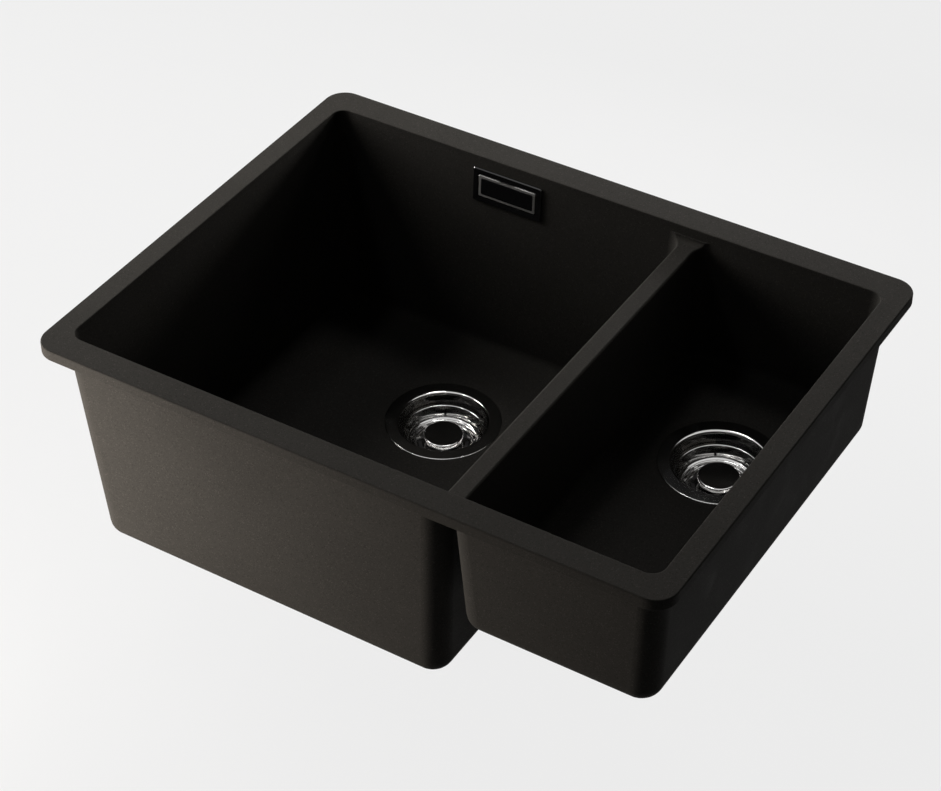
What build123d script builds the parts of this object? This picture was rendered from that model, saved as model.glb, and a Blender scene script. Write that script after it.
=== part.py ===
from build123d import *
import math
import os

# Double bowl undermount kitchen sink with two basket strainer wastes and a rear overflow.
# Millimetres, +Z up, +X along the sink towards the half bowl, +Y to the back.
# The origin is the centre of the rim's outline, on the rim's top face.

# ---------------------------------------------------------------- basin: rim
RIM_LENGTH = 590.0
RIM_DEPTH = 450.0
RIM_THICKNESS = 10.5
RIM_CORNER_R = 20.0
RIM_EDGE_R = 1.2
RIM_SIDE_W = 20.2
RIM_FRONT_W = 25.2
RIM_BACK_W = 27.6

# --------------------------------------------------------------- basin: bowls
DRAFT = 3.2
WALL = 7.2
FLOOR_THICKNESS = 14.0
FLOOR_FALL = 3.5
MAIN_DEPTH = 204.0
HALF_DEPTH = 127.0
INNER_CORNER_R = 12.0
OUTER_CORNER_R = 19.0
INNER_FLOOR_R = 9.0
OUTER_FLOOR_R = 15.0
INNER_EDGE_R = 0.8

# ------------------------------------------------------------- basin: divider
DIVIDER_X = 92.0
DIVIDER_W = 17.0
DIVIDER_DROP = 15.0
DIVIDER_EDGE_R = 2.0
DIVIDER_END_R = 6.0
DIVIDER_LEDGE = 1.4

# ----------------------------------------- drains, from the middle and back of a bowl
MAIN_DRAIN_OFFSET = 7.7
HALF_DRAIN_OFFSET = 4.3
DRAIN_FROM_BACK = 122.6
DRAIN_HOLE_R = 45.0
PAN_MARGIN = 2.0
DISH_WIDTH = 4.0
DISH_DROP = 0.8

# --------------------------------------------------------------- strainer cup
FLANGE_R = 53.5
FLANGE_LIP_R = 2.5
SHEET = 1.2
MOUTH_R = 40.4
LEDGE_DROP = 13.3
LEDGE_W = 2.9
CUP_DROP = 34.5
CUP_FLOOR_R = 34.6
CUP_BEND_R = 3.0
WINDOW_IN_R = 10.5
WINDOW_OUT_R = 20.0
WINDOW_COUNT = 6
WINDOW_BAR = 4.0

# ---------------------------------------------------------------------- seals
FLANGE_SEAL_T = 1.0
FLANGE_SEAL_W = 6.0
BODY_SEAL_T = 3.0

# ----------------------------------------------------------------- waste body
BODY_FLANGE_R = 51.0
BODY_FLANGE_T = 3.5
BODY_R = 46.5
BODY_WALL = 3.2
CONE_DROP = 15.0
OUTLET_R = 23.9
OUTLET_WALL = 3.2
OUTLET_LENGTH = 22.0
HUB_R = 9.0
HUB_LENGTH = 17.0
RIB_T = 3.0
RIB_COUNT = 3
THROAT_GAP = 1.5
GRIP_COUNT = 12
GRIP_R = 2.4

# ------------------------------------------------- insert and screw in the hub
SCREW_R = 4.0
SCREW_HEAD_R = 7.5
SCREW_HEAD_T = 3.2
SCREW_LENGTH = 17.0
SLOT_W = 2.0
SLOT_DEPTH = 1.6
INSERT_R = 6.0
INSERT_LENGTH = 13.0
INSERT_DROP = 1.5

# --------------------------------------------------------------------- basket
BASKET_SHEET = 0.9
BASKET_RIM_W = 2.5
BASKET_DEPTH = 12.2
BASKET_FLOOR_R = 31.0
BASKET_BEND_R = 3.2
BEAD_R = 1.4
BEAD_RING_R = (30.2, 26.2)
BEAD_SINK = 0.4
BEAD_COUNT = 9
BEAD_BREAK = 1.5
SLOT_RING_R = (28.2, 21.6)
SLOT_RING_W = (1.0, 3.0)
SLOT_RING_COUNT = (9, 9)
SLOT_RING_BAR = (4.0, 4.5)
KNOB_R = 18.4
KNOB_T = 4.6
KNOB_EDGE_R = 1.3
KNOB_RISE = 10.0
POST_R = 6.5
SPIGOT_R = 3.0
SPIGOT_HEAD_R = 4.2
SPIGOT_HEAD_T = 1.2
STOPPER_R = 26.0
STOPPER_T = 2.6
STOPPER_LIP_W = 2.4

# ------------------------------------------------------------------- overflow
OVERFLOW_OFFSET = 2.7
OVERFLOW_DROP = 29.5
FRAME_L = 71.5
FRAME_H = 35.0
FRAME_BAND_X = 6.25
FRAME_BAND_Y = 6.5
FRAME_PROUD = 2.0
FRAME_BEVEL = 0.8
FRAME_CORNER_R = 2.0
TRAY_FLOOR_T = 1.2
TRAY_WALL = 1.2
TRAY_R = 2.0
COVER_T = 2.4
COVER_LIFT = 1.8
COVER_CORNER_R = 1.2
COVER_EDGE_R = 0.6
INLET_GAP = 1.2
NOTCH_L = 16.0
NOTCH_DEPTH = 0.9
BEZEL_W = 2.5
PLATE_T = 1.5
PLATE_PROUD = 0.3
DRAIN_SLOT_L = 16.0
DRAIN_SLOT_H = 14.0
BOSS_R = 3.4
OVERFLOW_SCREW_INSET = 5.0
OVERFLOW_SCREW_R = 1.5
OVERFLOW_SCREW_HEAD_R = 2.8
OVERFLOW_SCREW_HEAD_T = 1.5
OVERFLOW_SCREW_GRIP = 8.0
CLIP_X = 14.0
CLIP_W = 5.0
CLIP_T = 1.3
CLIP_LENGTH = 6.0
GASKET_T = 0.6
HOUSING_LAP = 2.5
HOUSING_DEPTH = 14.0
HOUSING_WALL = 2.0
HOUSING_R = 6.0
SPOUT_R = 7.0
SPOUT_WALL = 1.6
SPOUT_LENGTH = 24.0
BARB_R = 0.7
BARB_PITCH = 6.0
BARB_COUNT = 3
PORT_R = 9.0
PORT_LENGTH = 30.0

# ----------------------------------------------------------------- clearances
SEAT_GAP = 0.3
FIT_GAP = 0.5
THREAD_GAP = 0.1
TRIM_GAP = 0.25
CUT_OVER = 5.0
FINE = 0.001

# ------------------------------------------------------- lines that parts share
SLOPE = math.tan(math.radians(DRAFT))
IN_LEFT = -RIM_LENGTH / 2 + RIM_SIDE_W
IN_RIGHT = RIM_LENGTH / 2 - RIM_SIDE_W
IN_FRONT = -RIM_DEPTH / 2 + RIM_FRONT_W
IN_BACK = RIM_DEPTH / 2 - RIM_BACK_W
DIVIDER_LEFT = DIVIDER_X - DIVIDER_W / 2 + DIVIDER_DROP * SLOPE
DIVIDER_RIGHT = DIVIDER_X + DIVIDER_W / 2 - DIVIDER_DROP * SLOPE
MAIN_MIDDLE = (IN_LEFT + DIVIDER_LEFT) / 2
HALF_MIDDLE = (DIVIDER_RIGHT + IN_RIGHT) / 2
DRAIN_Y = IN_BACK - DRAIN_FROM_BACK
BOWLS = {
    "main": (IN_LEFT, DIVIDER_LEFT, MAIN_DEPTH, MAIN_MIDDLE + MAIN_DRAIN_OFFSET),
    "half": (DIVIDER_RIGHT, IN_RIGHT, HALF_DEPTH, HALF_MIDDLE + HALF_DRAIN_OFFSET),
}

os.makedirs("parts", exist_ok=True)


def save(name, *solids):
    """Write one node: its solids as one STEP file."""
    shape = solids[0] if len(solids) == 1 else Compound(children=[s for s in solids])
    export_step(shape, f"parts/{name}.step")


def turned(points, close=True):
    """Revolve a profile of (radius, height) points about the Z axis."""
    return revolve(Plane.XZ * make_face(Polyline(*points, close=close)), Axis.Z)


def ring(r_in, r_out, z_low, z_high):
    """A flat washer between two radii and two heights."""
    return Pos(0, 0, z_low) * extrude(Circle(r_out) - Circle(r_in), z_high - z_low)


def section(x0, x1, y0, y1, z, radius):
    """A rounded rectangle at height z, moved in by the draft of the walls."""
    s = -z * SLOPE
    w, d = x1 - x0 - 2 * s, y1 - y0 - 2 * s
    return Pos((x0 + x1) / 2, (y0 + y1) / 2, z) * RectangleRounded(w, d, radius)


def tub(x0, x1, y0, y1, z_top, z_low, corner_r, floor_r):
    """A drafted block with round corners and a rolled lower edge, given by its outline at the rim."""
    height = z_top - z_low
    width, depth = x1 - x0 + 2 * z_top * SLOPE, y1 - y0 + 2 * z_top * SLOPE
    inset = height * SLOPE
    body = Wedge(width, height, depth, inset, inset, width - inset, depth - inset,
                 align=(Align.CENTER, Align.MIN, Align.CENTER))
    body = Pos((x0 + x1) / 2, (y0 + y1) / 2, z_top) * Rot(-90, 0, 0) * body
    body = fillet(body.edges().group_by(Axis.Z)[1], corner_r)
    return fillet(body.edges().group_by(Axis.Z)[0], floor_r)


def across(*points):
    """Extrude a (y, z) outline along X over the divider and the bowl corners beside it."""
    reach = DIVIDER_W / 2 + INNER_CORNER_R + 1
    outline = Plane.YZ * make_face(Polyline(*points, close=True))
    return Pos(DIVIDER_X - reach, 0, 0) * extrude(outline, 2 * reach)


def divider_recess():
    """The open space above the lowered divider."""
    low, high = -DIVIDER_DROP, CUT_OVER
    return across((IN_FRONT + high * -SLOPE, high), (IN_FRONT - low * SLOPE, low),
                  (IN_BACK + low * SLOPE, low), (IN_BACK + high * SLOPE, high))


def divider_ends(hollows):
    """The rolled ledge at each end of the divider, trimmed by the bowls' corners."""
    r, ends = DIVIDER_END_R, None
    step = -DIVIDER_DROP + r
    for side, wall_y in ((1, IN_FRONT), (-1, IN_BACK)):
        y = wall_y - side * step * SLOPE + side * DIVIDER_LEDGE
        block = across((wall_y - side * WALL / 2, step), (y, step), (y + side * r, step - r),
                       (y + side * r, step - r - WALL / 2), (wall_y - side * WALL / 2, step - r - WALL / 2))
        reach = DIVIDER_W + 2 * INNER_CORNER_R + 4
        roll = Pos(DIVIDER_X, y + side * r, step) * Rot(0, 90, 0) * Cylinder(r, reach)
        block = block - roll
        ends = block if ends is None else ends + block
    return ends - hollows


def floor_fall(x0, x1, depth, drain_x):
    """The shallow hipped pan that drains the bowl's floor towards its waste."""
    edge = offset(section(x0, x1, IN_FRONT, IN_BACK, -depth, INNER_CORNER_R), -INNER_FLOOR_R)
    pan_r = FLANGE_R + FIT_GAP + DISH_WIDTH + PAN_MARGIN
    pan = Pos(drain_x, DRAIN_Y, -depth - FLOOR_FALL) * RectangleRounded(2 * pan_r, 2 * pan_r, pan_r * 0.8)
    return loft([edge, pan], ruled=True)


def wall_plane():
    """The rear wall's inner face at the overflow; local x along the wall, y up it, z out of it."""
    c, s = math.cos(math.radians(DRAFT)), math.sin(math.radians(DRAFT))
    middle = (MAIN_MIDDLE + OVERFLOW_OFFSET, IN_BACK - OVERFLOW_DROP * SLOPE, -OVERFLOW_DROP)
    return Plane(origin=middle, x_dir=(1, 0, 0), z_dir=(0, -c, s))


WALL_NORMAL_T = WALL * math.cos(math.radians(DRAFT))
COVER_L = FRAME_L - 2 * FRAME_BAND_X
COVER_H = FRAME_H - 2 * FRAME_BAND_Y
PLATE_L = COVER_L - 2 * BEZEL_W
PLATE_H = COVER_H - 2 * BEZEL_W
OVERFLOW_SCREW_X = COVER_L / 2 - OVERFLOW_SCREW_INSET
TRAY_L = COVER_L + 2 * (INLET_GAP + TRAY_WALL)
TRAY_H = COVER_H + 2 * (INLET_GAP + TRAY_WALL)
SLOT_L = TRAY_L + 2 * FIT_GAP
SLOT_H = TRAY_H + 2 * FIT_GAP
HOUSING_L = SLOT_L + 2 * HOUSING_LAP
HOUSING_H = SLOT_H + 2 * HOUSING_LAP


def slot_block(length, height, radius, z_low, z_high):
    """A rounded bar in the overflow's own frame, before it is placed on the wall."""
    return Pos(0, 0, z_low) * extrude(RectangleRounded(length, height, radius), z_high - z_low)


def rounded(shell, chosen, radius):
    """Round the shell's edges whose box and middle pass the test."""
    return fillet([e for e in shell.edges() if chosen(e.bounding_box(), e.center())], radius)


def sink_basin():
    """The one-piece basin: rim, two drafted bowls, lowered divider, falls, drain seats and slot."""
    rim = extrude(RectangleRounded(RIM_LENGTH, RIM_DEPTH, RIM_CORNER_R), -RIM_THICKNESS)
    rim = fillet(rim.edges().group_by(Axis.Z)[-1] + rim.edges().group_by(Axis.Z)[0], RIM_EDGE_R)
    shell, hollows = rim, None
    for x0, x1, depth, drain_x in BOWLS.values():
        shell += tub(x0 - WALL, x1 + WALL, IN_FRONT - WALL, IN_BACK + WALL,
                     -RIM_THICKNESS / 2, -depth - FLOOR_FALL - FLOOR_THICKNESS,
                     OUTER_CORNER_R, OUTER_FLOOR_R)
        hollow = tub(x0, x1, IN_FRONT, IN_BACK, CUT_OVER, -depth, INNER_CORNER_R, INNER_FLOOR_R)
        hollows = hollow if hollows is None else hollows + hollow
    web_low, web_high = -DIVIDER_DROP - WALL, -RIM_THICKNESS / 2
    shell += Pos(DIVIDER_X, (IN_FRONT + IN_BACK) / 2, (web_low + web_high) / 2) * Box(
        DIVIDER_W, IN_BACK - IN_FRONT + WALL, web_high - web_low)
    shell -= hollows
    shell -= divider_recess()
    shell += divider_ends(hollows)
    half_length = (IN_BACK - IN_FRONT) / 2
    shell = rounded(shell, lambda box, mid: abs(mid.Z + DIVIDER_DROP) < FINE
                    and box.size.Z < FINE and box.size.Y > half_length, DIVIDER_EDGE_R)
    shell = rounded(shell, lambda box, mid: box.min.Z > -FINE and IN_LEFT - 1 < mid.X < IN_RIGHT + 1
                    and IN_FRONT - 1 < mid.Y < IN_BACK + 1, INNER_EDGE_R)
    for x0, x1, depth, drain_x in BOWLS.values():
        seat_r = FLANGE_R + FIT_GAP
        shell -= floor_fall(x0, x1, depth, drain_x)
        seat_z = -DISH_DROP - SHEET - FLANGE_SEAL_T
        shell -= Pos(drain_x, DRAIN_Y, -depth - FLOOR_FALL) * turned([
            (0, 1), (seat_r + DISH_WIDTH, 1), (seat_r + DISH_WIDTH, 0), (seat_r, -DISH_DROP),
            (seat_r, seat_z), (DRAIN_HOLE_R, seat_z),
            (DRAIN_HOLE_R, -FLOOR_THICKNESS - 1), (0, -FLOOR_THICKNESS - 1)])
    shell -= wall_plane() * slot_block(SLOT_L, SLOT_H, TRAY_R + FIT_GAP, -2 * WALL, WALL)
    return shell


def strainer_cup():
    """The pressed strainer bowl: flange, rolled mouth, ledge for the basket and windowed floor."""
    ledge_r = MOUTH_R - LEDGE_W
    inner = [(FLANGE_R, 0), (MOUTH_R, 0), (MOUTH_R, -LEDGE_DROP), (ledge_r, -LEDGE_DROP),
             (CUP_FLOOR_R, -CUP_DROP), (0, -CUP_DROP)]
    outer = [(0, -CUP_DROP - SHEET), (CUP_FLOOR_R + SHEET, -CUP_DROP - SHEET),
             (ledge_r + SHEET, -LEDGE_DROP - SHEET), (MOUTH_R + SHEET, -LEDGE_DROP - SHEET),
             (MOUTH_R + SHEET, -SHEET), (FLANGE_R, -SHEET)]
    profile = make_face(Polyline(*inner, *outer, close=True))

    def bend(shape, radius, *points):
        near = [shape.vertices().sort_by_distance((r, z, 0))[0] for r, z in points]
        return fillet(near, radius)

    profile = bend(profile, FLANGE_LIP_R, inner[1])
    profile = bend(profile, FLANGE_LIP_R + SHEET, outer[4])
    profile = bend(profile, 0.8, inner[3], outer[3])
    profile = bend(profile, CUP_BEND_R, inner[4])
    profile = bend(profile, CUP_BEND_R + SHEET, outer[1])
    profile = bend(profile, SHEET * 0.45, inner[0])
    cup = revolve(Plane.XZ * profile, Axis.Z)
    cup -= Pos(0, 0, -CUP_DROP - SHEET - 1) * extrude(Circle(SCREW_R + FIT_GAP), SHEET + 2)
    cup -= arc_slots(WINDOW_IN_R, WINDOW_OUT_R, WINDOW_COUNT, WINDOW_BAR,
                     -CUP_DROP - SHEET - 1, -CUP_DROP + 1)
    return cup


def arc_slots(r_in, r_out, count, bar, z_low, z_high):
    """Equal arc slots between two radii, parted by straight radial bars."""
    band = Circle(r_out) - Circle(r_in)
    for k in range(count):
        band -= Rot(0, 0, 360 / count * k) * Pos(r_out, 0) * Rectangle(2 * r_out, bar)
    return Pos(0, 0, z_low) * extrude(band, z_high - z_low)


def flange_seal():
    return ring(FLANGE_R - FLANGE_SEAL_W, FLANGE_R, -SHEET - FLANGE_SEAL_T, -SHEET)


UNDERSIDE = -FLOOR_THICKNESS + DISH_DROP
BODY_TOP = UNDERSIDE - BODY_SEAL_T
HUB_TOP = -CUP_DROP - SHEET
CONE_TOP = HUB_TOP - THROAT_GAP
CONE_LOW = CONE_TOP - CONE_DROP
OUTLET_END = CONE_LOW - OUTLET_LENGTH


def body_seal():
    return ring(DRAIN_HOLE_R + FIT_GAP, BODY_FLANGE_R, BODY_TOP, UNDERSIDE)


def waste_body(with_port):
    """The moulded drain body: clamping flange, gripped barrel and cone, with a spider inside."""
    barrel_in, bore = BODY_R - BODY_WALL, OUTLET_R - OUTLET_WALL
    shell = turned([
        (barrel_in, BODY_TOP), (BODY_FLANGE_R, BODY_TOP), (BODY_FLANGE_R, BODY_TOP - BODY_FLANGE_T),
        (BODY_R, BODY_TOP - BODY_FLANGE_T), (BODY_R, CONE_TOP), (OUTLET_R, CONE_LOW),
        (bore, CONE_LOW), (bore, CONE_LOW + BODY_WALL / 2), (barrel_in, CONE_TOP + BODY_WALL / 2)])
    hub = ring(INSERT_R + TRIM_GAP, HUB_R, HUB_TOP - HUB_LENGTH, HUB_TOP)
    hub += ring(SCREW_R + FIT_GAP, HUB_R, HUB_TOP - INSERT_DROP, HUB_TOP)
    reach = Pos(0, 0, HUB_TOP - HUB_LENGTH) * extrude(Circle(barrel_in + 1), HUB_LENGTH - 1)
    inside = turned([(0, HUB_TOP), (barrel_in + 1, HUB_TOP), (barrel_in + 1, CONE_TOP),
                     (OUTLET_R - BODY_WALL / 2, CONE_LOW), (0, CONE_LOW)])
    for k in range(RIB_COUNT):
        rib = Pos((HUB_R + barrel_in) / 2, 0, HUB_TOP - HUB_LENGTH / 2 - 0.5) * Box(
            barrel_in - HUB_R + 3, RIB_T, HUB_LENGTH - 1)
        hub += Rot(0, 0, 360 / RIB_COUNT * k + 90) * rib & inside & reach
    shell += hub
    for k in range(GRIP_COUNT):
        shell += Rot(0, 0, 360 / GRIP_COUNT * (k + 0.5)) * Pos(BODY_R, 0, CONE_TOP) * extrude(
            Circle(GRIP_R), BODY_TOP - BODY_FLANGE_T - CONE_TOP)
    if with_port:
        shell = add_port(shell)
    return shell


def outlet_tail():
    """The outlet pipe under the cone, which takes the trap's nut."""
    return ring(OUTLET_R - OUTLET_WALL, OUTLET_R, OUTLET_END, CONE_LOW)


def barbed(r, wall, length):
    """A hose spigot along +Z with saw-tooth barbs at its free end, and its bore as a separate solid."""
    points = [(0, 0), (r, 0)]
    for k in range(BARB_COUNT):
        z = length - BARB_PITCH * (BARB_COUNT - k)
        points += [(r, z), (r + BARB_R, z + BARB_PITCH * 0.2)]
    return turned(points + [(r, length), (0, length)]), extrude(Circle(r - wall), length + 1)


def add_port(shell):
    """A hose port for the overflow on the back of the drain body."""
    z = (BODY_TOP - BODY_FLANGE_T + CONE_TOP) / 2
    start = BODY_R - BODY_WALL * 0.7
    spigot, bore = barbed(PORT_R, SPOUT_WALL, PORT_LENGTH)
    place = Plane(origin=(0, start, z), x_dir=(1, 0, 0), z_dir=(0, 1, 0))
    shell += place * spigot
    return shell - place * (Pos(0, 0, -BODY_WALL) * bore) - place * bore


def thread_insert():
    top = HUB_TOP - INSERT_DROP
    return ring(SCREW_R + THREAD_GAP, INSERT_R, top - INSERT_LENGTH, top)


def centre_screw():
    """The slotted screw that draws the drain body up to the strainer cup."""
    seat = -CUP_DROP
    screw = turned([(0, seat + SCREW_HEAD_T), (SCREW_HEAD_R, seat + SCREW_HEAD_T), (SCREW_HEAD_R, seat),
                    (SCREW_R, seat), (SCREW_R, seat - SCREW_LENGTH), (0, seat - SCREW_LENGTH)])
    rounded = screw.edges().filter_by(GeomType.CIRCLE).group_by(Axis.Z)[-1]
    screw = fillet(rounded, SCREW_HEAD_T * 0.3)
    return screw - Pos(0, 0, seat + SCREW_HEAD_T) * Box(2 * SCREW_HEAD_R + 1, SLOT_W, 2 * SLOT_DEPTH)


BASKET_RIM_R = MOUTH_R - LEDGE_W + BASKET_RIM_W - FIT_GAP
BASKET_SEAT = -LEDGE_DROP + SEAT_GAP
BASKET_FLOOR = BASKET_SEAT - BASKET_DEPTH


def basket_shell():
    """The pressed lift-out basket: flat rim, tapered wall, beaded and slotted floor."""
    top_r = MOUTH_R - LEDGE_W - FIT_GAP
    t, low, floor = BASKET_SHEET, BASKET_SEAT, BASKET_FLOOR
    foot_r = BASKET_FLOOR_R + BASKET_BEND_R
    inner = [(BASKET_RIM_R, low + t), (top_r - t, low + t), (foot_r, floor), (0, floor)]
    outer = [(0, floor - t), (foot_r + t, floor - t), (top_r, low), (BASKET_RIM_R, low)]
    profile = make_face(Polyline(*inner, *outer, close=True))

    def bend(shape, radius, point):
        return fillet([shape.vertices().sort_by_distance((*point, 0))[0]], radius)

    profile = bend(profile, BASKET_BEND_R, inner[2])
    profile = bend(profile, BASKET_BEND_R + t, outer[1])
    profile = bend(profile, 1.0, inner[1])
    shell = revolve(Plane.XZ * profile, Axis.Z)
    for r in BEAD_RING_R:
        bead = revolve(Plane.XZ * Pos(r, floor - BEAD_SINK) * Circle(BEAD_R), Axis.Z)
        breaks = arc_slots(r - BEAD_R - 1, r + BEAD_R + 1, BEAD_COUNT, BEAD_BREAK, floor - t, floor + BEAD_R)
        shell += bead & breaks & ring(POST_R, MOUTH_R, floor - t / 2, floor + BEAD_R)
    for r, w, count, bar in zip(SLOT_RING_R, SLOT_RING_W, SLOT_RING_COUNT, SLOT_RING_BAR):
        shell -= arc_slots(r - w / 2, r + w / 2, count, bar, floor - t - 1, floor + BEAD_R + 1)
    return shell - Pos(0, 0, floor - t - 1) * extrude(Circle(SPIGOT_R + THREAD_GAP), t + 2)


def basket_knob():
    """The turned lifting knob: round-edged flat top, post, and a headed spigot that holds the stopper."""
    floor, top = BASKET_FLOOR, BASKET_FLOOR + KNOB_RISE
    stop_low = floor - BASKET_SHEET - STOPPER_T
    knob = turned([(0, top), (KNOB_R, top), (KNOB_R, top - KNOB_T), (POST_R, top - KNOB_T), (POST_R, floor),
                   (SPIGOT_R, floor), (SPIGOT_R, stop_low), (SPIGOT_HEAD_R, stop_low),
                   (SPIGOT_HEAD_R * 0.8, stop_low - SPIGOT_HEAD_T), (0, stop_low - SPIGOT_HEAD_T)])
    rims = knob.edges().filter_by(GeomType.CIRCLE).filter_by(lambda e: abs(e.radius - KNOB_R) < 1e-6)
    return fillet(rims, KNOB_EDGE_R)


def basket_stopper():
    """The rubber stopper under the basket, with a lip that closes on the strainer cup's floor."""
    top = BASKET_FLOOR - BASKET_SHEET
    low = top - STOPPER_T
    lip = -CUP_DROP + SEAT_GAP
    return turned([(SPIGOT_R + THREAD_GAP, top), (STOPPER_R, top), (STOPPER_R, lip),
                   (STOPPER_R - STOPPER_LIP_W, lip), (STOPPER_R - STOPPER_LIP_W - 1, low),
                   (SPIGOT_R + THREAD_GAP, low)])


def save_waste(side, depth, x, with_port):
    """Write the nodes of one drain at its place in the bowl."""
    place = Pos(x, DRAIN_Y, -depth - FLOOR_FALL - DISH_DROP)
    pieces = {
        "strainer_cup": strainer_cup(), "flange_seal": flange_seal(), "body_seal": body_seal(),
        "waste_body": waste_body(with_port), "outlet_tail": outlet_tail(),
        "thread_insert": thread_insert(),
        "centre_screw": centre_screw(), "basket": basket_shell(), "basket_knob": basket_knob(),
        "basket_stopper": basket_stopper(),
    }
    for name, piece in pieces.items():
        save(f"{side}_{name}", place * piece)


# Overflow pieces are drawn flat: x along the wall, y up it, z = 0 on the wall's inner face.
FRAME_FACE = FRAME_PROUD
COVER_FACE = FRAME_FACE
COVER_BACK = COVER_FACE - COVER_T
TRAY_TOP = COVER_BACK - COVER_LIFT
TRAY_END = -WALL_NORMAL_T - GASKET_T - TRAY_WALL
HOUSING_FACE = -WALL_NORMAL_T - GASKET_T


def overflow_frame():
    """The moulded frame: bevelled flange, a tray through the wall, screw bosses and cover sockets."""
    frame = slot_block(FRAME_L, FRAME_H, FRAME_CORNER_R, GASKET_T, FRAME_FACE)
    frame = chamfer(frame.edges().group_by(Axis.Z)[-1], FRAME_BEVEL)
    frame += slot_block(TRAY_L, TRAY_H, TRAY_R, TRAY_END, GASKET_T)
    inside = slot_block(TRAY_L - 2 * TRAY_WALL, TRAY_H - 2 * TRAY_WALL, TRAY_R - TRAY_WALL / 2,
                        TRAY_TOP, FRAME_FACE + 1)
    behind = slot_block(TRAY_L - 2 * TRAY_WALL, TRAY_H - 2 * TRAY_WALL, TRAY_R - TRAY_WALL / 2,
                        TRAY_END - 1, TRAY_TOP - TRAY_FLOOR_T)
    frame -= inside + behind
    frame -= slot_block(DRAIN_SLOT_L, DRAIN_SLOT_H, DRAIN_SLOT_H / 2 - 1, TRAY_END, FRAME_FACE)
    for x in (-OVERFLOW_SCREW_X, OVERFLOW_SCREW_X):
        frame += Pos(x, 0, TRAY_END) * extrude(Circle(BOSS_R), TRAY_TOP - TRAY_END)
        frame -= Pos(x, 0, TRAY_END - 1) * extrude(
            Circle(OVERFLOW_SCREW_R + TRIM_GAP), FRAME_FACE - TRAY_END)
    socket_h = 2 * CLIP_T + 3 * TRIM_GAP
    for x in (-CLIP_X, CLIP_X):
        frame += Pos(x, 0, TRAY_END) * extrude(
            Rectangle(CLIP_W + 2 * TRIM_GAP + 2 * TRAY_WALL, socket_h + 2 * TRAY_WALL), TRAY_TOP - TRAY_END)
        frame -= Pos(x, 0, TRAY_END - 1) * extrude(
            Rectangle(CLIP_W + 2 * TRIM_GAP, socket_h), FRAME_FACE - TRAY_END)
    return frame


def overflow_gasket():
    """The soft gasket between the frame and the bowl's wall."""
    gasket = slot_block(FRAME_L - 2 * FRAME_BEVEL, FRAME_H - 2 * FRAME_BEVEL, FRAME_CORNER_R, 0, GASKET_T)
    return gasket - slot_block(SLOT_L, SLOT_H, TRAY_R + FIT_GAP, -1, GASKET_T + 1)


def overflow_bezel():
    """The bright cover with a finger notch, and split tongues that push into the frame's sockets."""
    bezel = slot_block(COVER_L, COVER_H, COVER_CORNER_R, COVER_BACK, COVER_FACE)
    bezel = fillet(bezel.edges().group_by(Axis.Z)[-1], COVER_EDGE_R)
    bezel -= slot_block(PLATE_L, PLATE_H, COVER_CORNER_R,
                        COVER_FACE - PLATE_T + PLATE_PROUD, COVER_FACE + 1)
    bezel -= Pos(0, COVER_H / 2, COVER_BACK - 1) * extrude(
        RectangleRounded(NOTCH_L, 2 * NOTCH_DEPTH, NOTCH_DEPTH * 0.6), COVER_T + 2)
    for x in (-CLIP_X, CLIP_X):
        for side in (-1, 1):
            bezel += Pos(x, side * (CLIP_T + TRIM_GAP) / 2, TRAY_TOP - CLIP_LENGTH) * extrude(
                Rectangle(CLIP_W, CLIP_T), COVER_BACK - TRAY_TOP + CLIP_LENGTH)
    return bezel


def overflow_plate():
    """The plain plate set in the bezel."""
    top = COVER_FACE + PLATE_PROUD
    plate = slot_block(PLATE_L - 2 * THREAD_GAP, PLATE_H - 2 * THREAD_GAP, COVER_CORNER_R - THREAD_GAP,
                       top - PLATE_T, top)
    return fillet(plate.edges().group_by(Axis.Z)[-1], PLATE_PROUD * 0.8)


def housing_seal():
    """The seal between the housing and the back of the bowl's wall."""
    seal = slot_block(HOUSING_L, HOUSING_H, HOUSING_R, HOUSING_FACE, -WALL_NORMAL_T)
    return seal - slot_block(SLOT_L, SLOT_H, TRAY_R + FIT_GAP, HOUSING_FACE - 1, 0)


def overflow_housing():
    """The moulded chamber behind the wall, with a barbed spout down to the hose."""
    back, w = HOUSING_FACE - HOUSING_DEPTH, HOUSING_WALL
    housing = slot_block(HOUSING_L, HOUSING_H, HOUSING_R, back, HOUSING_FACE)
    housing = fillet(housing.edges().group_by(Axis.Z)[0], HOUSING_WALL)
    spigot, bore = barbed(SPOUT_R, SPOUT_WALL, SPOUT_LENGTH + w)
    place = Plane(origin=(0, -HOUSING_H / 2 + w, (back + TRAY_END) / 2), x_dir=(1, 0, 0), z_dir=(0, -1, 0))
    housing += place * spigot
    housing -= slot_block(SLOT_L + FIT_GAP, SLOT_H + FIT_GAP, TRAY_R + FIT_GAP, back + w, HOUSING_FACE + 1)
    housing -= place * (Pos(0, 0, -w) * bore) + place * bore
    for x in (-OVERFLOW_SCREW_X, OVERFLOW_SCREW_X):
        post = TRAY_END - TRIM_GAP
        housing += Pos(x, 0, back + w / 2) * extrude(Circle(BOSS_R), post - back - w / 2)
        housing -= Pos(x, 0, post - OVERFLOW_SCREW_GRIP) * extrude(
            Circle(OVERFLOW_SCREW_R + THREAD_GAP), OVERFLOW_SCREW_GRIP + 1)
    return housing


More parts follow.
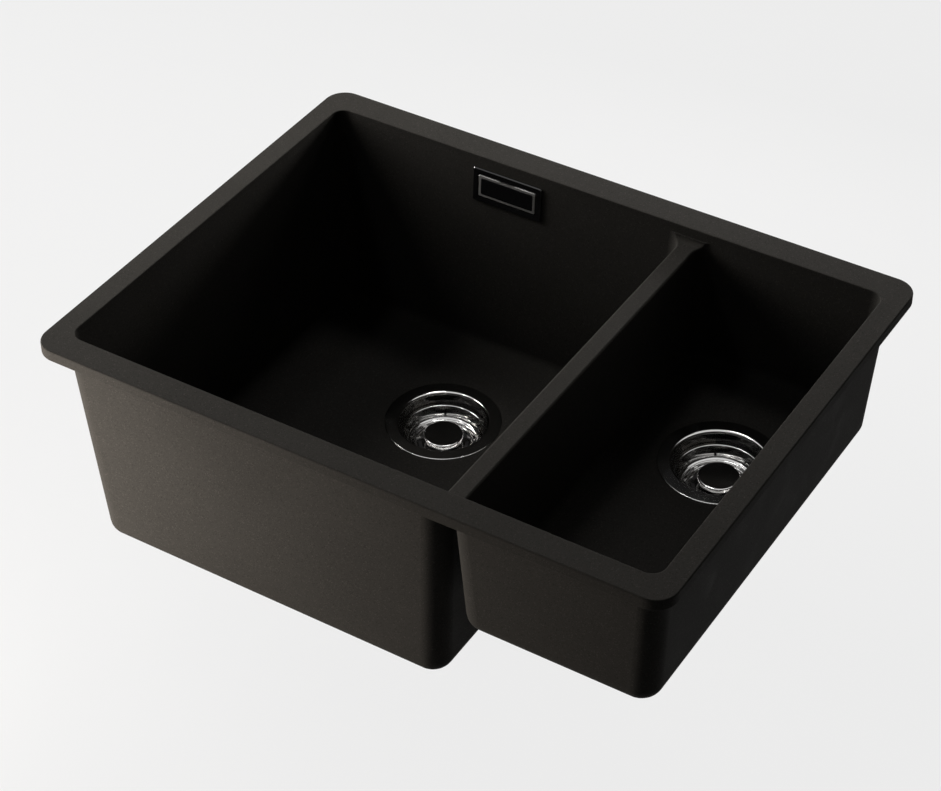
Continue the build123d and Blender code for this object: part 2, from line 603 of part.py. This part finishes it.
def overflow_screws():
    """The two screws that draw the housing up to the frame."""
    seat, tip = TRAY_TOP, TRAY_END - OVERFLOW_SCREW_GRIP + 1
    head, r = seat + OVERFLOW_SCREW_HEAD_T, OVERFLOW_SCREW_R
    screw = turned([(0, head), (OVERFLOW_SCREW_HEAD_R, head), (OVERFLOW_SCREW_HEAD_R, seat),
                    (r, seat), (r, tip), (0, tip)])
    top = screw.edges().filter_by(GeomType.CIRCLE).group_by(Axis.Z)[-1]
    screw = fillet(top, OVERFLOW_SCREW_HEAD_T * 0.4)
    return [Pos(x, 0, 0) * screw for x in (-OVERFLOW_SCREW_X, OVERFLOW_SCREW_X)]


save("sink_basin", sink_basin())
for side, (x0, x1, depth, drain_x) in BOWLS.items():
    save_waste(side, depth, drain_x, side == "main")
wall = wall_plane()
save("overflow_frame", wall * overflow_frame())
save("overflow_gasket", wall * overflow_gasket())
save("overflow_bezel", wall * overflow_bezel())
save("overflow_plate", wall * overflow_plate())
save("overflow_housing", wall * overflow_housing())
save("overflow_housing_seal", wall * housing_seal())
save("overflow_screws", *[wall * s for s in overflow_screws()])
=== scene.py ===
import math

import bpy
import numpy as np
from bpy.props import FloatProperty, FloatVectorProperty, IntProperty, PointerProperty
from mathutils import Euler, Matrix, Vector


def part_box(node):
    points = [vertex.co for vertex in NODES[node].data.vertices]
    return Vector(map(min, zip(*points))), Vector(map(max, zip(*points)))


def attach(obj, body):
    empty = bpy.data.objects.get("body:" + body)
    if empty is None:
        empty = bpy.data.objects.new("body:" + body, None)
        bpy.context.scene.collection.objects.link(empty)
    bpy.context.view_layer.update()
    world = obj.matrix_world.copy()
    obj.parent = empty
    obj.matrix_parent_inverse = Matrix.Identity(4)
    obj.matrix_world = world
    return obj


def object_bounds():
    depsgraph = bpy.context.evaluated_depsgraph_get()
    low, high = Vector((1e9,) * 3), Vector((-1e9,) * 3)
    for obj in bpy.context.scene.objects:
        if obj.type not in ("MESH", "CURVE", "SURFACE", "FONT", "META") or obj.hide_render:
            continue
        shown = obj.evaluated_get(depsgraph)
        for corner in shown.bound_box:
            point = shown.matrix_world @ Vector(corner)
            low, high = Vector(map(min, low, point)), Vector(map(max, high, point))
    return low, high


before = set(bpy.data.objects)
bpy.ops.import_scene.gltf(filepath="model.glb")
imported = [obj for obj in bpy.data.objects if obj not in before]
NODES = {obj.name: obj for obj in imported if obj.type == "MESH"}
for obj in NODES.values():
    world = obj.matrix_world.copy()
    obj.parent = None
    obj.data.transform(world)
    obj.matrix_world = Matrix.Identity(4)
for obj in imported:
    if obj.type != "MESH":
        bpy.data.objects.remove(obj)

bl_info = {
    "name": "Double bowl kitchen sink",
    "version": (1, 0, 0),
    "blender": (4, 5, 0),
    "location": "View3D > Sidebar > Sink",
    "description": "Finishes, outlet threads and studio for a double bowl sink on its packed frame",
    "category": "Object",
}

CAD_LOW, CAD_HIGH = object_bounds()
SIDES = ("main", "half")


def drain_axis(side):
    """(x, y) of a drain: the middle of its strainer cup's box, in metres."""
    low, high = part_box(f"{side}_strainer_cup")
    return (low.x + high.x) / 2, (low.y + high.y) / 2


# ------------------------------------------------------------------ user's sizes and colours
def colour(name, text, default):
    """A colour property with its default in linear RGB."""
    return FloatVectorProperty(name=name, description=text, default=default, size=3,
                               min=0, max=1, subtype="COLOR")


def length(name, text, default):
    """A length property in metres."""
    return FloatProperty(name=name, description=text, default=default, min=0,
                         subtype="DISTANCE", unit="LENGTH", precision=5)


def factor(name, text, default):
    """A property from 0 to 1."""
    return FloatProperty(name=name, description=text, default=default, min=0, max=1, subtype="FACTOR")


class StoneFinish(bpy.types.PropertyGroup):
    """The quartz composite of the basin."""
    body: colour("Body", "Colour of the resin and fine quartz", (0.0345, 0.0330, 0.0305))
    # the light grains' colour also paints a highlight on the raised edges
    light: colour("Light grains", "Colour of the palest quartz grains", (0.058, 0.055, 0.050))
    dark: colour("Dark grains", "Colour of the darkest grains", (0.020, 0.019, 0.0175))
    grain: length("Grain", "Width of one quartz grain", 0.0007)
    relief: length("Relief", "Height of the grain's texture", 0.00003)
    roughness: factor("Roughness", "Mean roughness of the moulded face", 0.56)
    sheen: factor("Sheen", "Level of the moulded face's mirrored light", 0.01)


class SteelFinish(bpy.types.PropertyGroup):
    """The polished steel of the strainers and the bright cover."""
    body: colour("Body", "Colour of the polished steel", (0.66, 0.655, 0.645))
    roughness: factor("Roughness", "Roughness where the polish is clean", 0.06)
    lines: length("Polish lines", "Spacing of the polishing lines", 0.0004)
    relief: length("Relief", "Height of the polishing lines", 0.000001)


class MouldingFinish(bpy.types.PropertyGroup):
    """The plastic and rubber mouldings and the brass moulded into them."""
    plastic: colour("Plastic", "Colour of the black plastic", (0.011, 0.011, 0.0112))
    gloss: colour("Gloss plate", "Colour of the glossy cover plate and its frame", (0.006, 0.006, 0.0065))
    rubber: colour("Rubber", "Colour of the seals", (0.021, 0.0205, 0.02))
    brass: colour("Brass", "Colour of the threaded inserts", (0.62, 0.43, 0.17))


class OutletThread(bpy.types.PropertyGroup):
    """The pipe thread on each outlet."""
    pitch: length("Pitch", "Rise of the thread in one turn", 0.002309)
    height: length("Height", "How far the thread stands out", 0.00035)
    start: length("Start", "Plain length below the cone before the thread begins", 0.0025)
    steps: IntProperty(name="Steps", description="Grid steps in one turn of the thread",
                       default=64, min=16, max=256)


class StudioStage(bpy.types.PropertyGroup):
    """The floor, backdrop, lamps and camera."""
    backdrop: colour("Backdrop", "Colour that the floor and backdrop show", (0.97, 0.97, 0.97))
    paper: colour("Paper", "Colour of the floor where the lamps light it", (0.20, 0.20, 0.20))
    gap: length("Floor gap", "Height of the object's lowest point over the floor", 0.03)
    radius: length("Floor radius", "Radius of the flat floor", 5.0)
    cove: length("Cove", "Radius of the curve from the floor to the backdrop", 1.5)
    wall: length("Backdrop height", "Height of the backdrop over its cove", 1.6)
    shadow: factor("Shadow", "Share of the object's shadow that the pale floor keeps", 0.15)
    sky: factor("Sky", "Strength of the even sky that lights the object", 0.01)
    lens: FloatProperty(name="Lens", description="Focal length in millimetres on a 36 mm sensor",
                        default=95.6005, min=10, max=300)


# ------------------------------------------------------------------------- node helpers
def new_material(name):
    """A material that holds one Principled shader; returns it, its tree, the shader and
    the node that the finished surface goes to."""
    mat = bpy.data.materials.new(name)
    mat.use_nodes = True
    tree = mat.node_tree
    tree.nodes.clear()
    shader = add(tree, "BsdfPrincipled")
    out = add(tree, "OutputMaterial", Surface=shader.outputs["BSDF"])
    return mat, tree, shader, out


def socket_of(node, key):
    """A node's input, by its name with _ for a space, or by its place, such as i0."""
    if key[0] == "i" and key[1:].isdigit():
        return node.inputs[int(key[1:])]
    return node.inputs[key.replace("_", " ")]


def put(tree, node, **inputs):
    """Set a node's inputs, or link those that are given a socket."""
    for key, value in inputs.items():
        if isinstance(value, bpy.types.NodeSocket):
            tree.links.new(value, socket_of(node, key))
        else:
            socket_of(node, key).default_value = value
    return node


def add(tree, kind, settings=None, **inputs):
    """A new node with its settings and inputs."""
    node = tree.nodes.new("ShaderNode" + kind)
    for key, value in (settings or {}).items():
        setattr(node, key, value)
    return put(tree, node, **inputs)


def calc(tree, operation, a, b=0.0, c=0.0):
    """One Math node."""
    return add(tree, "Math", {"operation": operation}, i0=a, i1=b, i2=c).outputs[0]


def ramp(tree, value, low, high, to_low=0.0, to_high=1.0):
    """A smooth step of value from low to high, given as to_low to to_high."""
    return add(tree, "MapRange", {"interpolation_type": "SMOOTHSTEP"}, Value=value,
               i1=low, i2=high, i3=to_low, i4=to_high).outputs[0]


def opaque(value):
    """A colour with full alpha; a socket stays as it is."""
    return value if isinstance(value, bpy.types.NodeSocket) else (*value, 1.0)


def blend_colour(tree, share, a, b):
    """Colour a at share 0 and colour b at share 1."""
    return add(tree, "Mix", {"data_type": "RGBA"}, i0=share, i6=opaque(a), i7=opaque(b)).outputs[2]


def toned(body, share):
    """A colour times that share."""
    return tuple(c * share for c in body)


def place_of(tree):
    """Object coordinates, in metres, because every object sits at the origin."""
    return add(tree, "TexCoord").outputs["Object"]


def height_in(tree, vector):
    """The upright part of a vector."""
    return add(tree, "SeparateXYZ", Vector=vector).outputs[2]


def noise(tree, vector, scale, detail=2.0, roughness=0.5):
    """Noise from 0 to 1 whose cells are about 1 / scale metres wide."""
    node = add(tree, "TexNoise", Vector=vector, Scale=scale, Detail=detail, Roughness=roughness)
    return node.outputs[0]


def bump(tree, shader, height, distance):
    """Relief of that many metres on the shader's normal."""
    relief = add(tree, "Bump", Strength=1.0, Distance=distance, Height=height)
    put(tree, shader, Normal=relief.outputs[0])


def radius_about(tree, x, y):
    """Distance from the upright axis at (x, y)."""
    moved = add(tree, "Mapping", Vector=place_of(tree), Location=(-x, -y, 0.0), Scale=(1.0, 1.0, 0.0))
    return add(tree, "VectorMath", {"operation": "LENGTH"}, i0=moved.outputs[0]).outputs["Value"]


def any_ray(tree, *kinds):
    """1 for a ray of any of those kinds, otherwise 0."""
    rays = add(tree, "LightPath").outputs
    share = rays[kinds[0]]
    for kind in kinds[1:]:
        share = calc(tree, "MAXIMUM", share, rays[kind])
    return share


# ------------------------------------------------------------------------- finishes
# stone
CLOUD_SHADE, CLOUD_BLEND = 0.78, 0.35   # a cloud's colour over the body's, and its densest share
PALE_GRAINS, DARK_GRAINS = 0.90, 0.80   # random values above which a grain turns pale or dark
GRAIN_BLEND = 0.8                       # share of a pale or dark grain's own colour
GRAIN_ROUGH = 0.06                      # most that a grain adds to the roughness
GRAIN_HOLLOW, GRAIN_FINE = 0.5, 0.6     # shares of the relief in a grain's hollow and in fine noise
EDGE_TILT = (0.12, 0.5)                 # upward part of the normal from which an edge is smoothed and gets a painted highlight,
EDGE_TOP = (0.97, 0.75)                 # and up to which it does, so that level faces stay plain
EDGE_BAND = (-0.020, -0.014)            # metres from the rim's top; edges above it are smoothed and get the painted highlight
EDGE_HIGHLIGHT, EDGE_ROUGH = 0.35, -0.1     # share of the pale grains' colour in the painted highlight, and change in roughness
SCUFF_ROUGH = (0.05, -0.04)             # roughness added between the scuffs and on them

# metals
SMEAR_SHADE, SMEAR_BLEND = 0.9, 0.25    # a hand smear's colour over the steel's, and its share
SMEAR_ROUGH, RING_ROUGH = 0.05, 0.03    # most that a smear or a polishing ring adds to roughness
LINE_STRETCH = 0.08                     # a drawn line's width over its length
PATCH_SHADE, PATCH_ROUGH = 0.82, 0.08   # a dull patch's colour over the metal's, and its roughness

# mouldings
DUST_GAIN, DUST_LIFT = 1.5, 0.004       # dust's colour is the body's times the gain, plus the lift
DUST_BLEND = 0.6                        # share of the dust's colour where it lies thickest
FLOW_ROUGH = (-0.03, 0.06)              # roughness added between the flow marks and on them


def stone_material(p):
    """Matt quartz composite: cells of grain with a few pale and dark ones, cloudy resin,
    and raised edges that are a little smoother and carry a painted highlight in the pale grains' colour."""
    mat, tree, shader, _ = new_material("quartz_composite")
    at = place_of(tree)
    cells = add(tree, "TexVoronoi", Vector=at, Scale=1 / p.grain, Randomness=1.0)
    pick = add(tree, "SeparateColor", Color=cells.outputs["Color"]).outputs
    cloud = noise(tree, at, scale=9.0, detail=3.0)
    fine = noise(tree, at, scale=2.2 / p.grain, detail=1.0)
    clouded = ramp(tree, cloud, 0.3, 0.7, to_high=CLOUD_BLEND)
    base = blend_colour(tree, clouded, p.body, toned(p.body, CLOUD_SHADE))
    base = blend_colour(tree, ramp(tree, pick[0], PALE_GRAINS, 1.0, to_high=GRAIN_BLEND), base, p.light)
    base = blend_colour(tree, ramp(tree, pick[1], DARK_GRAINS, 1.0, to_high=GRAIN_BLEND), base, p.dark)
    facing = height_in(tree, add(tree, "NewGeometry").outputs["Normal"])
    edge = calc(tree, "MULTIPLY", ramp(tree, facing, *EDGE_TILT), ramp(tree, facing, *EDGE_TOP))
    edge = calc(tree, "MULTIPLY", edge, ramp(tree, height_in(tree, at), *EDGE_BAND))
    # painted highlight: the raised edges are blended towards the pale grains' colour
    base = blend_colour(tree, calc(tree, "MULTIPLY", edge, EDGE_HIGHLIGHT), base, p.light)
    scuff = noise(tree, at, scale=35.0, detail=5.0, roughness=0.65)
    rough = calc(tree, "ADD", p.roughness, ramp(tree, scuff, 0.45, 0.75, *SCUFF_ROUGH))
    rough = calc(tree, "MULTIPLY_ADD", edge, EDGE_ROUGH, rough)
    rough = calc(tree, "MULTIPLY_ADD", pick[2], GRAIN_ROUGH, rough)
    put(tree, shader, Base_Color=base, Specular_IOR_Level=p.sheen, Roughness=rough)
    hollow = calc(tree, "MULTIPLY", cells.outputs["Distance"], GRAIN_HOLLOW)
    bump(tree, shader, calc(tree, "MULTIPLY_ADD", fine, GRAIN_FINE, hollow), p.relief)
    return mat


def steel_material(p, name, x, y):
    """Polished steel turned about the axis at (x, y): fine polishing rings and faint hand smears."""
    mat, tree, shader, _ = new_material(name)
    out = radius_about(tree, x, y)
    turned = add(tree, "TexNoise", {"noise_dimensions": "1D"}, W=out, Scale=1 / p.lines, Detail=2.0)
    rings = turned.outputs[0]
    smear = noise(tree, place_of(tree), scale=45.0, detail=4.0, roughness=0.6)
    smeared = ramp(tree, smear, 0.35, 0.75, to_high=SMEAR_BLEND)
    tint = blend_colour(tree, smeared, p.body, toned(p.body, SMEAR_SHADE))
    rough = calc(tree, "ADD", p.roughness, ramp(tree, smear, 0.4, 0.8, to_high=SMEAR_ROUGH))
    rough = calc(tree, "MULTIPLY_ADD", rings, RING_ROUGH, rough)
    put(tree, shader, Base_Color=tint, Metallic=1.0, Roughness=rough)
    bump(tree, shader, rings, p.relief)
    return mat


def drawn_metal(name, body, roughness, spacing, relief, metallic=1.0):
    """Metal with short drawn lines along X and cloudy patches that are darker and duller.
    Below 1, metallic leaves part of the face a bright coating that spreads the light."""
    mat, tree, shader, _ = new_material(name)
    at = place_of(tree)
    drawn = add(tree, "Mapping", Vector=at, Scale=(LINE_STRETCH, 1.0, 1.0)).outputs[0]
    lines = noise(tree, drawn, scale=1 / spacing)
    patch = noise(tree, at, scale=70.0, detail=4.0)
    tint = blend_colour(tree, ramp(tree, patch, 0.3, 0.75), body, toned(body, PATCH_SHADE))
    rough = calc(tree, "ADD", roughness, ramp(tree, patch, 0.35, 0.8, to_high=PATCH_ROUGH))
    put(tree, shader, Base_Color=tint, Metallic=metallic, Roughness=rough)
    bump(tree, shader, lines, relief)
    return mat


def moulded_material(name, body, roughness, texture, relief, sheen=0.5):
    """Moulded plastic or rubber: fine mould texture, cloudy gloss and a little dust in the colour."""
    mat, tree, shader, _ = new_material(name)
    at = place_of(tree)
    grit = noise(tree, at, scale=1 / texture, roughness=0.6)
    flow = noise(tree, at, scale=25.0, detail=3.0)
    dust = tuple(min(1.0, c * DUST_GAIN + DUST_LIFT) for c in body)
    tint = blend_colour(tree, ramp(tree, flow, 0.45, 0.8, to_high=DUST_BLEND), body, dust)
    rough = calc(tree, "ADD", roughness, ramp(tree, flow, 0.3, 0.8, *FLOW_ROUGH))
    put(tree, shader, Base_Color=tint, Specular_IOR_Level=sheen, Roughness=rough)
    bump(tree, shader, grit, relief)
    return mat


def dress(material, *names):
    """Give CAD nodes their finish."""
    for name in names:
        obj = NODES[name]
        if not obj.material_slots:
            obj.data.materials.append(material)
        for slot in obj.material_slots:
            slot.link = "OBJECT"
            slot.material = material


# ------------------------------------------------------------------------- surfaces
def grid_object(name, points, wrap_u, wrap_v, material, smooth=True, capped=False):
    """A mesh object from an array of points [u, v, 3]; the faces run u to u+1 and v to v+1,
    and close round where wrap_u or wrap_v is true. Capped, each end of u gets one face."""
    nu, nv = points.shape[:2]
    u = np.arange(nu if wrap_u else nu - 1)
    v = np.arange(nv if wrap_v else nv - 1)
    uu, vv = np.meshgrid(u, v, indexing="ij")

    def index(a, b):
        return (a % nu) * nv + b % nv

    quads = np.stack([index(uu, vv), index(uu + 1, vv), index(uu + 1, vv + 1), index(uu, vv + 1)], -1)
    faces = quads.reshape(-1, 4).tolist()
    if capped:
        last = nu * nv - 1
        faces += [list(range(nv)), list(range(last, last - nv, -1))]
    mesh = bpy.data.meshes.new(name)
    mesh.from_pydata(points.reshape(-1, 3), [], faces)
    mesh.polygons.foreach_set("use_smooth", np.full(len(mesh.polygons), smooth))
    mesh.materials.append(material)
    obj = bpy.data.objects.new(name, mesh)
    bpy.context.scene.collection.objects.link(obj)
    return obj


THREAD_ROOT = 0.0002                # how deep the ridge is set into the outlet, in metres
THREAD_RISE = (0.44, 0.40, 0.07)    # half widths of the ridge's root, foot and crest, in pitches
THREAD_END = 0.6                    # from the ridge's end to the outlet's mouth, in pitches


def thread_surface(x, y, z_top, z_low, radius, p):
    """A closed helical ridge [u, v, 3] round an upright cylinder.

    u runs along the helix and v round the ridge's section. With turn angle a = 2 pi u / steps,
    P(u, v) = (x + r cos a, y + r sin a, z_top - pitch a / 2 pi + s), where (r, s) is the
    section: a ridge from radius - root, through its foot at radius, out to radius + height e(u),
    with s at plus and minus the root's, the foot's and the crest's half width, and e(u) eases
    the ridge in and out over half a turn at each end."""
    turns = (z_top - z_low) / p.pitch
    a = np.linspace(0.0, 2 * math.pi * turns, int(turns * p.steps) + 1)[:, None]
    ease = np.clip(np.minimum(a, a[-1] - a) / math.pi, 0.0, 1.0)
    ease = ease * ease * (3 - 2 * ease)
    sunk = np.array([-THREAD_ROOT, 0.0, 0.0, 0.0, 0.0, -THREAD_ROOT])
    crest = np.array([0.0, 0.0, 1.0, 1.0, 0.0, 0.0])
    rise = np.array([*THREAD_RISE, *(-s for s in reversed(THREAD_RISE))]) * p.pitch
    r = radius + sunk + crest * p.height * ease
    z = z_top - p.pitch * a / (2 * math.pi) + rise
    return np.stack([x + r * np.cos(a), y + r * np.sin(a), z], -1)


# ------------------------------------------------------------------------- operators
class SINK_OT_basin(bpy.types.Operator):
    """Give the basin its quartz composite"""
    bl_idname = "sink.basin"
    bl_label = "Basin finish"

    def execute(self, context):
        dress(stone_material(context.scene.sink_stone), "sink_basin")
        return {"FINISHED"}


class SINK_OT_strainers(bpy.types.Operator):
    """Polish the strainer cups, baskets, knobs and centre screws"""
    bl_idname = "sink.strainers"
    bl_label = "Strainer finish"

    def execute(self, context):
        p = context.scene.sink_steel
        for side in SIDES:
            steel = steel_material(p, f"polished_steel_{side}", *drain_axis(side))
            dress(steel, f"{side}_strainer_cup", f"{side}_basket", f"{side}_basket_knob",
                  f"{side}_centre_screw")
        return {"FINISHED"}


class SINK_OT_wastes(bpy.types.Operator):
    """Finish the drain bodies, seals, stoppers and inserts"""
    bl_idname = "sink.wastes"
    bl_label = "Drain body finish"

    def execute(self, context):
        p = context.scene.sink_moulding
        plastic = moulded_material("matt_black_plastic", p.plastic,
                                   roughness=0.42, texture=0.0005, relief=0.00003)
        rubber = moulded_material("seal_rubber", p.rubber,
                                  roughness=0.72, texture=0.0009, relief=0.00004, sheen=0.3)
        brass = drawn_metal("turned_brass", p.brass, roughness=0.28, spacing=0.0005, relief=0.00001)
        for side in SIDES:
            dress(plastic, f"{side}_waste_body", f"{side}_outlet_tail")
            dress(rubber, f"{side}_flange_seal", f"{side}_body_seal", f"{side}_basket_stopper")
            dress(brass, f"{side}_thread_insert")
        return {"FINISHED"}


class SINK_OT_overflow(bpy.types.Operator):
    """Finish the overflow's frame, bright bezel, glossy plate, housing, seals and screws"""
    bl_idname = "sink.overflow"
    bl_label = "Overflow finish"

    def execute(self, context):
        p = context.scene.sink_moulding
        steel = context.scene.sink_steel.body
        black = moulded_material("black_frame", p.gloss,
                                 roughness=0.10, texture=0.0006, relief=0.000005, sheen=1.0)
        plate = moulded_material("gloss_black_plate", p.gloss,
                                 roughness=0.06, texture=0.003, relief=0.000003)
        bezel = drawn_metal("bright_bezel", steel,
                            roughness=0.10, spacing=0.0004, relief=0.000002, metallic=0.7)
        screws = drawn_metal("drawn_steel", toned(steel, 0.9),
                             roughness=0.3, spacing=0.0004, relief=0.00001)
        dress(black, "overflow_frame")
        dress(plate, "overflow_plate")
        dress(bezel, "overflow_bezel")
        dress(screws, "overflow_screws")
        dress(bpy.data.materials["matt_black_plastic"], "overflow_housing")
        dress(bpy.data.materials["seal_rubber"], "overflow_gasket", "overflow_housing_seal")
        return {"FINISHED"}


class SINK_OT_threads(bpy.types.Operator):
    """Wind the pipe thread round each outlet"""
    bl_idname = "sink.threads"
    bl_label = "Outlet threads"

    def execute(self, context):
        p = context.scene.sink_thread
        plastic = bpy.data.materials["matt_black_plastic"]
        for side in SIDES:
            low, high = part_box(f"{side}_outlet_tail")
            ridge = thread_surface((low.x + high.x) / 2, (low.y + high.y) / 2, high.z - p.start,
                                   low.z + p.pitch * THREAD_END, (high.x - low.x) / 2, p)
            obj = grid_object(f"{side}_outlet_thread", ridge, False, True, plastic,
                              smooth=False, capped=True)
            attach(obj, "sink")
        return {"FINISHED"}


class SINK_OT_studio(bpy.types.Operator):
    """Set the pale floor and backdrop, the soft lamps and the camera"""
    bl_idname = "sink.studio"
    bl_label = "Studio"

    def execute(self, context):
        p = context.scene.sink_studio
        dish = dish_surface(p.radius, p.cove, p.wall, CAD_LOW.z - p.gap)
        stage = grid_object("studio_floor", dish, True, False, backdrop_material(p))
        set_world(context.scene, p)
        for lamp in LAMPS:
            add_lamp(*lamp)
        set_camera(context.scene, p.lens)
        context.scene.view_settings.view_transform = "Standard"
        return {"FINISHED"}


# ------------------------------------------------------------------------- studio
FLOOR_RINGS = (0.001, 0.6, 1.2, 2.0, 3.0, 4.0)      # radii of the flat floor's rings, in metres
WALL_RINGS = (0.3, 0.6, 1.0)                        # heights of the wall's rings, as shares of it
COVE_STEPS = 24                                     # grid steps up the cove
ROUND_STEPS = 96                                    # grid steps round the dish

# shares of the backdrop's and the paper's colour between the fibres
PALE_FIBRE, GREY_FIBRE = 0.995, 0.98

# sine of the height at which the mirrored sky starts to be pale, and is fully pale
PALE_SKY = (0.70, 0.80)

# name, place, what it points at, width, height, watts, colour; in metres
LAMPS = (
    ("front_left_box", (-0.9, -1.2, 0.30), (-0.1, 0.0, -0.10), 0.7, 0.5, 1.2, (1.0, 0.93, 0.86)),
    ("low_left_box", (-0.50, -0.50, -0.14), (-0.28, -0.2, -0.10), 0.25, 0.2, 6.8, (1.0, 0.92, 0.84)),
    ("left_box", (-1.4, 0.1, 0.35), (0.0, 0.0, 0.0), 0.8, 0.5, 22.0, (1.0, 0.97, 0.93)),
    ("near_left_box", (-0.70, 0.05, 0.40), (-0.2, 0.0, 0.0), 0.4, 0.3, 3.3, (1.0, 0.97, 0.93)),
    ("low_back_strip", (-0.10, 0.80, 0.12), (0.0, 0.1, 0.0), 0.7, 0.12, 6.0, (1.0, 0.97, 0.94)),
    ("back_box", (0.0, 1.5, 0.7), (0.0, 0.0, 0.0), 1.2, 0.6, 5.0, (1.0, 0.97, 0.94)),
    ("top_left_pane", (-0.80, -0.45, 1.66), (0.05, 0.07, -0.18), 0.2, 0.2, 1.5, (1.0, 1.0, 1.0)),
    ("top_back_pane", (-0.40, 0.75, 1.60), (0.05, 0.07, -0.18), 0.3, 0.3, 3.7, (1.0, 0.99, 0.98)),
)

CAMERA_PLACE = (0.8588305, -1.3921497, 1.2711216)   # metres
CAMERA_TURN = (50.2912051, 0.3211204, 31.7360253)   # degrees about X, Y and Z
CAMERA_SENSOR = 36.0                                # width in millimetres
CAMERA_CLIP = (0.05, 50.0)                          # nearest and farthest that it shows, in metres


def dish_surface(radius, cove, wall, z):
    """The floor and backdrop [u, v, 3] as one round dish.

    P(u, v) = (r cos u, r sin u, h), with (r, h) along a profile: from the middle out to radius,
    a quarter circle r = radius + cove sin t, h = z + cove (1 - cos t), then straight up."""
    t = np.linspace(0, math.pi / 2, COVE_STEPS + 1)[1:]
    flat = np.array([*FLOOR_RINGS, radius])
    upright = wall * np.array(WALL_RINGS)
    r = np.concatenate([flat, radius + cove * np.sin(t), np.full(len(upright), radius + cove)])
    h = np.concatenate([np.full(len(flat), z), z + cove * (1 - np.cos(t)), z + cove + upright])
    u = np.linspace(0, 2 * math.pi, ROUND_STEPS, endpoint=False)
    points = np.stack([np.outer(np.cos(u), r), np.outer(np.sin(u), r), np.tile(h, (len(u), 1))], -1)
    return points[::-1]


def backdrop_material(p):
    """Pale paper that shows its own colour to the camera and in reflections, and keeps part of
    the shadow; from behind it isn't there, so the underside can be seen."""
    mat, tree, shader, out = new_material("backdrop_paper")
    fibre = noise(tree, place_of(tree), scale=30.0, detail=3.0)
    pale = blend_colour(tree, fibre, toned(p.backdrop, PALE_FIBRE), p.backdrop)
    grey = blend_colour(tree, fibre, toned(p.paper, GREY_FIBRE), p.paper)
    put(tree, shader, Base_Color=grey, Roughness=0.9, Specular_IOR_Level=0.0)
    glow = add(tree, "Emission", Color=pale, Strength=1.0)
    seen = any_ray(tree, "Is Camera Ray", "Is Glossy Ray", "Is Transmission Ray")
    share = calc(tree, "MULTIPLY", seen, 1.0 - p.shadow)
    front = add(tree, "MixShader", i0=share, i1=shader.outputs[0], i2=glow.outputs[0])
    behind = add(tree, "NewGeometry").outputs["Backfacing"]
    clear = add(tree, "BsdfTransparent")
    whole = add(tree, "MixShader", i0=behind, i1=front.outputs[0], i2=clear.outputs[0])
    put(tree, out, Surface=whole.outputs[0])
    return mat


def set_world(scene, p):
    """A dim even sky that shows as the pale backdrop to the camera. In reflections it is pale
    overhead and dark from the backdrop's top to halfway up."""
    world = bpy.data.worlds.new("studio_sky")
    world.use_nodes = True
    tree = world.node_tree
    tree.nodes.clear()
    dim = add(tree, "Background", Color=opaque((1.0, 1.0, 1.0)), Strength=p.sky)
    pale = add(tree, "Background", Color=opaque(toned(p.backdrop, 1.0 - p.shadow)), Strength=1.0)
    height = height_in(tree, add(tree, "TexCoord").outputs["Generated"])
    mirrored = any_ray(tree, "Is Glossy Ray", "Is Transmission Ray")
    mirrored = calc(tree, "MULTIPLY", mirrored, ramp(tree, height, *PALE_SKY))
    seen = calc(tree, "MAXIMUM", any_ray(tree, "Is Camera Ray"), mirrored)
    both = add(tree, "MixShader", i0=seen, i1=dim.outputs[0], i2=pale.outputs[0])
    add(tree, "OutputWorld", Surface=both.outputs[0])
    scene.world = world


def add_lamp(name, place, target, width, height, watts, tint):
    """A rectangular softbox at place that faces target."""
    light = bpy.data.lights.new(name, "AREA")
    light.shape, light.size, light.size_y = "RECTANGLE", width, height
    light.energy, light.color = watts, tint
    obj = bpy.data.objects.new(name, light)
    obj.location = place
    obj.rotation_euler = (Vector(target) - Vector(place)).to_track_quat("-Z", "Y").to_euler()
    obj.visible_camera = False
    bpy.context.scene.collection.objects.link(obj)


def set_camera(scene, lens):
    """The camera that looks down on the sink from its front right."""
    cam = bpy.data.objects.new("camera", bpy.data.cameras.new("camera"))
    cam.data.sensor_width, cam.data.lens = CAMERA_SENSOR, lens
    cam.data.clip_start, cam.data.clip_end = CAMERA_CLIP
    cam.location = CAMERA_PLACE
    cam.rotation_euler = Euler([math.radians(d) for d in CAMERA_TURN], "XYZ")
    scene.collection.objects.link(cam)
    scene.camera = cam


# ------------------------------------------------------------------------- panel and classes
class SINK_PT_panel(bpy.types.Panel):
    """The sink's pieces and stage, in order"""
    bl_idname = "SINK_PT_panel"
    bl_label = "Double bowl sink"
    bl_space_type = "VIEW_3D"
    bl_region_type = "UI"
    bl_category = "Sink"

    def draw(self, context):
        for cls in OPERATORS:
            self.layout.operator(cls.bl_idname)


GROUPS = {"sink_stone": StoneFinish, "sink_steel": SteelFinish, "sink_moulding": MouldingFinish,
          "sink_thread": OutletThread, "sink_studio": StudioStage}
OPERATORS = (SINK_OT_basin, SINK_OT_strainers, SINK_OT_wastes, SINK_OT_overflow, SINK_OT_threads,
             SINK_OT_studio)
CLASSES = (*GROUPS.values(), *OPERATORS, SINK_PT_panel)


def register():
    """Register the classes and give the scene its groups of sizes and colours."""
    for cls in CLASSES:
        bpy.utils.register_class(cls)
    for name, group in GROUPS.items():
        setattr(bpy.types.Scene, name, PointerProperty(type=group))


def unregister():
    """Take the groups and the classes away again."""
    for name in GROUPS:
        delattr(bpy.types.Scene, name)
    for cls in reversed(CLASSES):
        bpy.utils.unregister_class(cls)


def main():
    """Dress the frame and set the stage."""
    register()
    bpy.ops.sink.basin()
    bpy.ops.sink.strainers()
    bpy.ops.sink.wastes()
    bpy.ops.sink.overflow()
    bpy.ops.sink.threads()
    bpy.ops.sink.studio()


if __name__ == "__main__":
    main()
